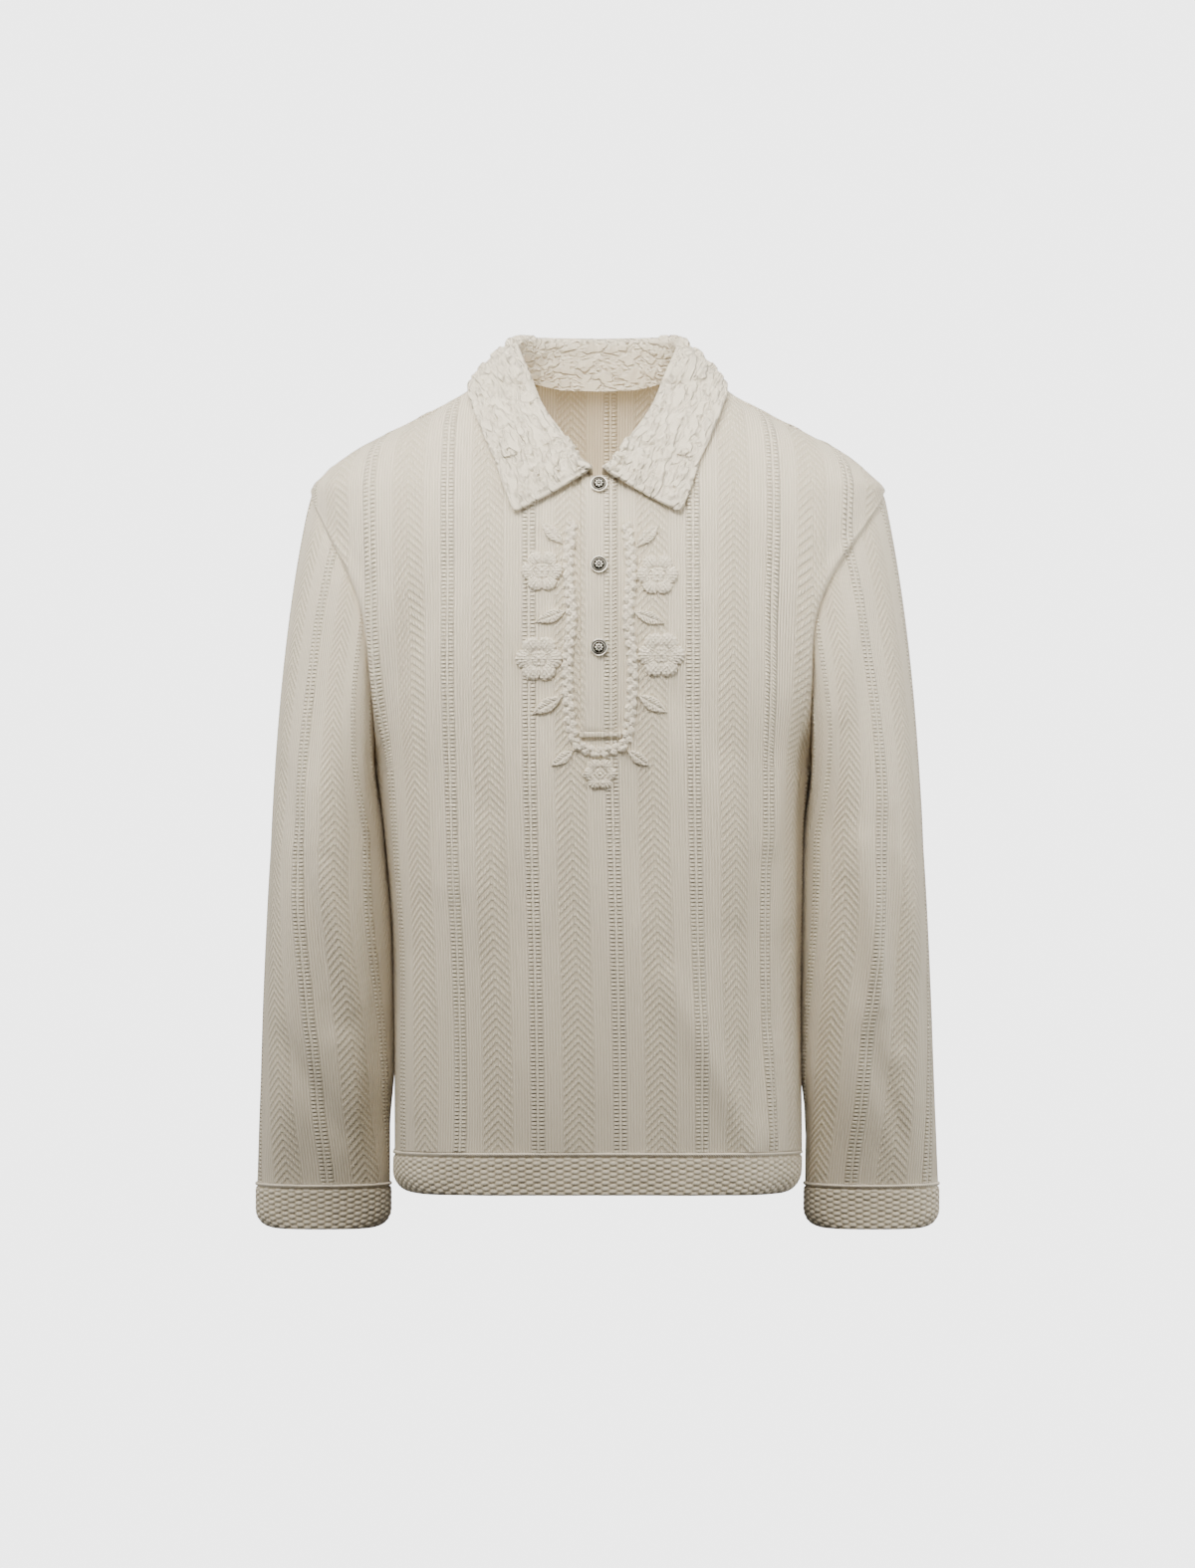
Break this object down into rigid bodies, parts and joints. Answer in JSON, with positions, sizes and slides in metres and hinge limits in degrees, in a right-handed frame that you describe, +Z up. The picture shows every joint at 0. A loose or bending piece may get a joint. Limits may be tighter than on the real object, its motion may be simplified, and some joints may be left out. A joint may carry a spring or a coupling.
{
  "type": "polo shirt",
  "caption": "Long-sleeved knitted polo shirt with a folded collar, short buttoned placket, knitted cuffs and hem band, filled out with no wearer.",
  "frame": {"origin": "middle of the neck opening, level with the ends of the back neck seam, where the wearer's neck holds the shirt", "axes": "+Z up along the shirt's length, +Y from its front to its back, +X to the wearer's left, the viewer's right from in front"},
  "size_m": [0.5768, 0.252, 0.7538],
  "materials": {
    "ribbed_knit": "matt off-white cotton knit with raised cables, fine ribs and herringbone stripes",
    "honeycomb_knit": "matt off-white honeycomb knit",
    "collar_cloth": "thick off-white cloth with raised leaf and flower relief",
    "applique_yarn": "off-white crochet cotton",
    "button_metal": "polished pale metal"
  },
  "bodies": {
    "root": {"front": "ribbed_knit", "back": "ribbed_knit", "sleeve_left": "ribbed_knit", "sleeve_right": "ribbed_knit", "placket_top": "ribbed_knit", "placket_under": "ribbed_knit", "placket_bar": "ribbed_knit", "cuff_left": "honeycomb_knit", "cuff_right": "honeycomb_knit", "hem_band": "honeycomb_knit", "collar": "collar_cloth", "applique_stem": "applique_yarn", "applique_rosette_1": "applique_yarn", "applique_rosette_2": "applique_yarn", "applique_rosette_3": "applique_yarn", "applique_rosette_4": "applique_yarn", "applique_rosette_5": "applique_yarn", "applique_leaf_1": "applique_yarn", "applique_leaf_2": "applique_yarn", "applique_leaf_3": "applique_yarn", "applique_leaf_4": "applique_yarn", "applique_leaf_5": "applique_yarn", "applique_leaf_6": "applique_yarn", "applique_leaf_7": "applique_yarn", "applique_leaf_8": "applique_yarn", "button_1": "button_metal", "button_2": "button_metal", "button_3": "button_metal"}
  },
  "joints": []
}
